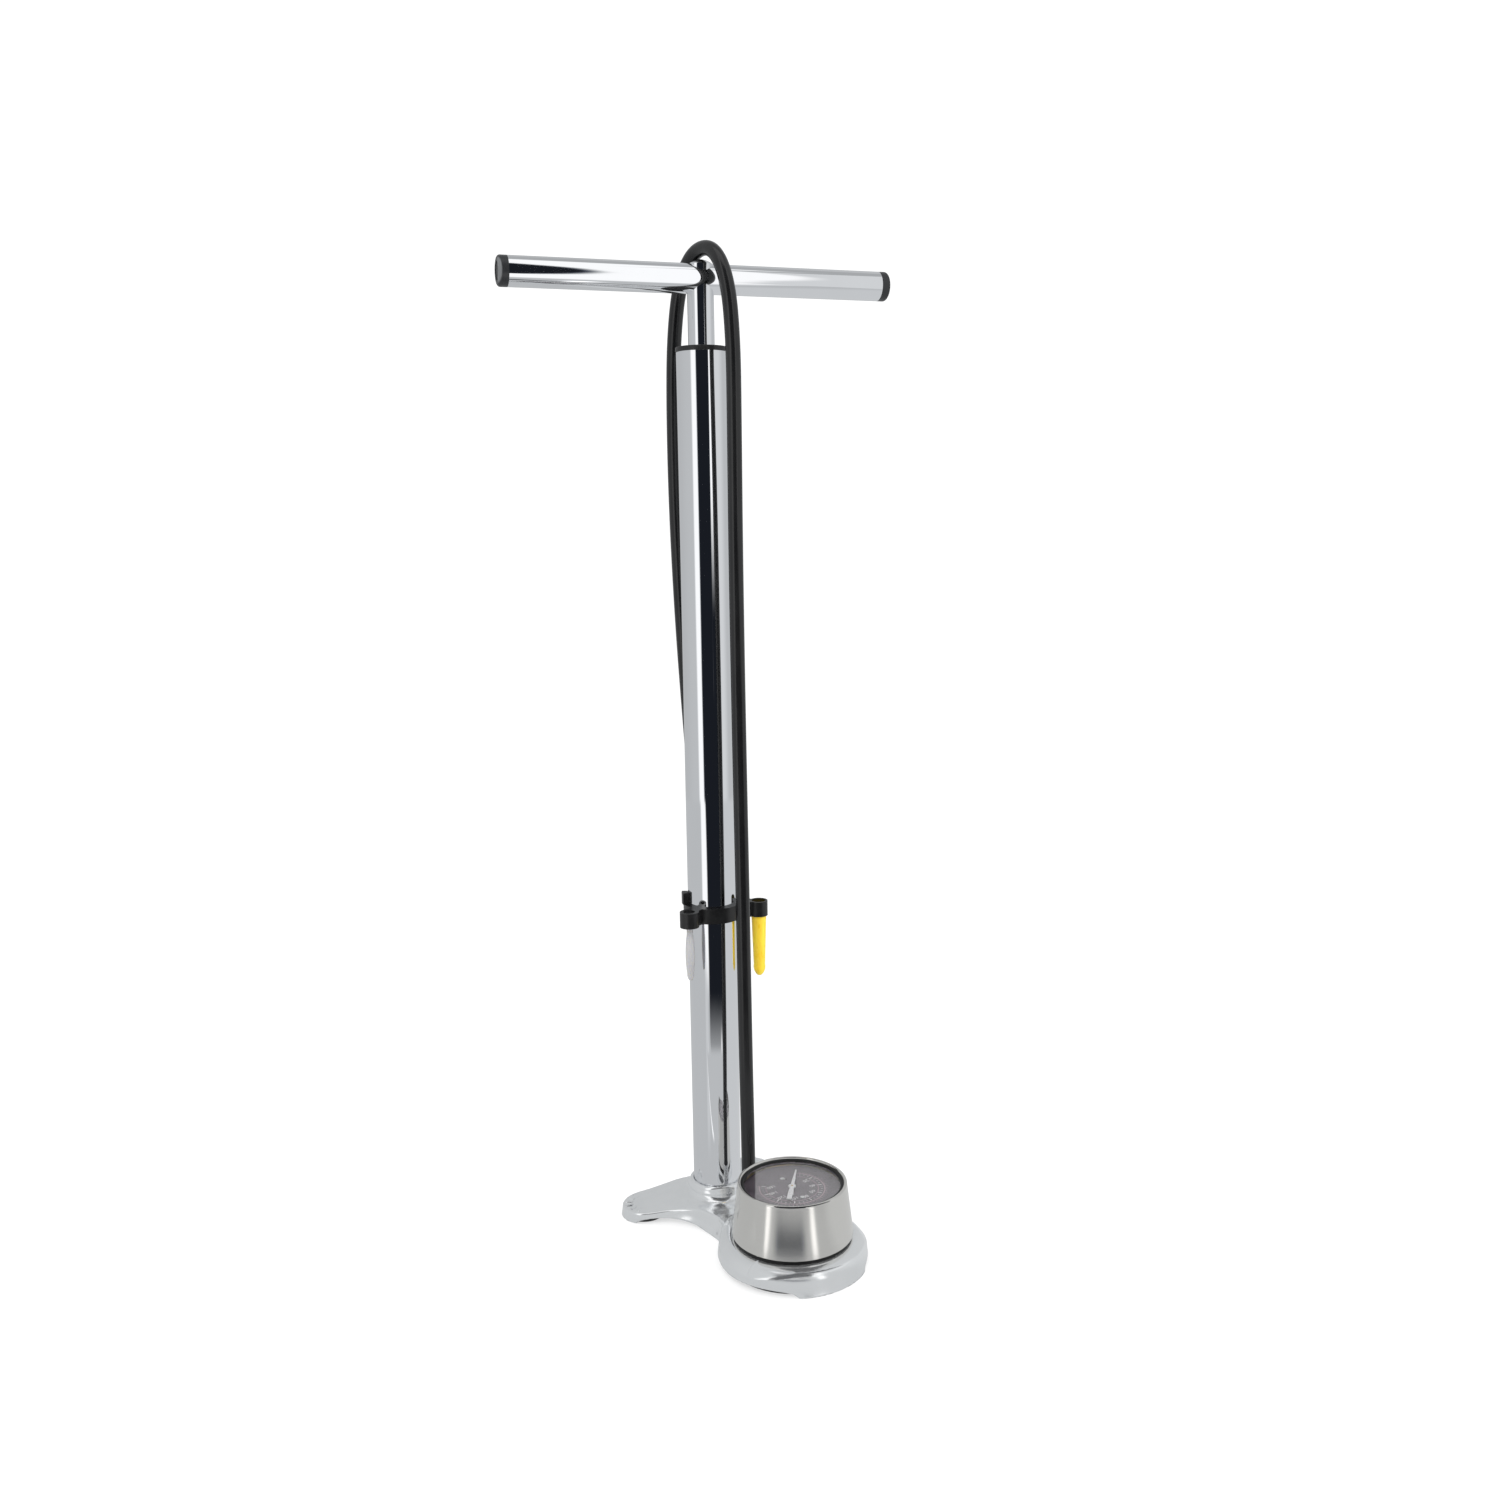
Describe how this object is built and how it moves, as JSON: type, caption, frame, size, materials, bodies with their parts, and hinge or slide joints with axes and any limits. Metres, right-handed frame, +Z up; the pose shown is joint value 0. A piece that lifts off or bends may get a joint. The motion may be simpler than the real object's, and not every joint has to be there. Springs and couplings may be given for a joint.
{
  "type": "floor bike pump",
  "caption": "Upright floor pump with chrome barrel, T-handle, base-mounted pressure gauge, hose looped over the handle and adapter clip.",
  "frame": {"origin": "on the ground, on the barrel's axis", "axes": "+Z up along the barrel, -Y towards the gauge, +X and -X towards the two foot wings; handle at its lowest point"},
  "size_m": [0.2664, 0.1908, 0.6929],
  "materials": {
    "cast": "cast aluminium, polished",
    "pads": "moulded black rubber",
    "barrel": "bright chrome plate on steel tube",
    "rod": "hard chrome, polished",
    "handle": "bright chrome plate",
    "black_plastic": "black moulded plastic",
    "seals": "black rubber seal",
    "brass": "turned and stamped brass",
    "steel": "plain steel hardware",
    "gauge_case": "satin brushed stainless steel",
    "ferrule": "crimped steel sleeve",
    "crystal": "clear glass",
    "dial": "charcoal printed dial",
    "needle": "white painted needle",
    "hose": "satin black rubber hose",
    "head": "black glass-filled plastic",
    "piston": "natural acetal",
    "cone": "yellow moulded plastic",
    "bulb": "light grey moulded plastic"
  },
  "bodies": {
    "base": {"base_casting": "cast", "foot_pad_left": "pads", "foot_pad_right": "pads", "foot_pad_front": "pads", "check_valve_seat": "brass", "check_valve_plug": "brass", "check_spring": "steel", "barrel": "barrel", "barrel_gasket": "seals", "top_cap": "black_plastic", "rod_wiper": "seals", "gauge_gasket": "seals", "gauge_housing": "gauge_case", "gauge_mounting_screws": "steel", "gauge_mounting_nuts": "steel", "gauge_crystal": "crystal", "crystal_seal": "seals", "gauge_dial": "dial", "dial_screws": "steel", "movement_plate_lower": "brass", "movement_plate_upper": "brass", "movement_posts": "brass", "bourdon_tube": "brass", "gauge_socket": "brass", "hose_nipple": "brass", "hose_ferrule_base": "ferrule", "hose": "hose", "hose_ferrule_head": "ferrule", "head_body": "head", "lever_pin": "steel", "head_gasket": "seals", "head_cap": "head", "accessory_clip": "black_plastic"},
    "piston": {"piston_washer": "steel", "piston_cup": "seals", "piston_body": "piston"},
    "rod_handle": {"piston_rod": "rod", "rod_foot": "steel", "piston_nut": "steel", "rod_bumper": "seals", "handle_stud": "steel", "handle_tube": "handle", "handle_plug_left": "black_plastic", "handle_plug_right": "black_plastic", "handle_dome_nut": "handle"},
    "valve_ball": {"check_ball": "steel"},
    "needle": {"needle_arbor": "brass", "gauge_needle": "needle"},
    "sector": {"sector_gear": "brass", "sector_arbor": "steel"},
    "link": {"gauge_link": "brass"},
    "lever": {"head_lever": "head"},
    "plunger": {"head_plunger": "head"},
    "cone": {"cone_adapter": "cone"},
    "bulb": {"bulb_adapter": "bulb"}
  },
  "joints": [
    {"name": "handle_stroke", "type": "slide", "parent": "base", "child": "piston", "axis": [0, 0, 1], "range_m": [0, 0.545], "deforming": ["hose"]},
    {"name": "handle_turn", "type": "hinge", "parent": "piston", "child": "rod_handle", "pos_m": [0, 0, 0.6686], "axis": [0, 0, 1], "range_deg": [-35, 65]},
    {"name": "valve_ball_lift", "type": "slide", "parent": "base", "child": "valve_ball", "axis": [0, 0, -1], "range_m": [0, 0.0012], "stiffness_N_per_m": 100, "springref_m": -0.001, "deforming": ["check_spring"]},
    {"name": "sector_turn", "type": "hinge", "parent": "base", "child": "sector", "pos_m": [-0.02114, -0.0997, 0.038], "axis": [0, 0, 1], "range_deg": [0, 33.75], "stiffness_Nm_per_rad": 0.005, "deforming": ["bourdon_tube"]},
    {"name": "needle_turn", "type": "hinge", "parent": "base", "child": "needle", "pos_m": [0, -0.092, 0.0522], "axis": [0, 0, -1], "range_deg": [0, 270]},
    {"name": "link_swing", "type": "hinge", "parent": "sector", "child": "link", "pos_m": [-0.02565, -0.10134, 0.0395], "axis": [0, 0, 1], "range_deg": [-33.75, 0]},
    {"name": "head_lever_turn", "type": "hinge", "parent": "base", "child": "lever", "pos_m": [0.0207, 0.028, 0.246], "axis": [0, 1, 0], "range_deg": [0, 85]},
    {"name": "head_plunger_slide", "type": "slide", "parent": "base", "child": "plunger", "axis": [0, 0, 1], "range_m": [0, 0.002]},
    {"name": "cone_adapter_pull", "type": "slide", "parent": "base", "child": "cone", "axis": [0, 0, -1], "range_m": [0, 0.03]},
    {"name": "bulb_adapter_pull", "type": "slide", "parent": "base", "child": "bulb", "axis": [0, 0, -1], "range_m": [0, 0.03]}
  ],
  "couplings": [
    {"joint": "needle_turn", "follows": "sector_turn", "ratio": 8},
    {"joint": "link_swing", "follows": "sector_turn", "ratio": -1},
    {"joint": "head_plunger_slide", "follows": "head_lever_turn", "m_per_rad": 0.0013414}
  ]
}
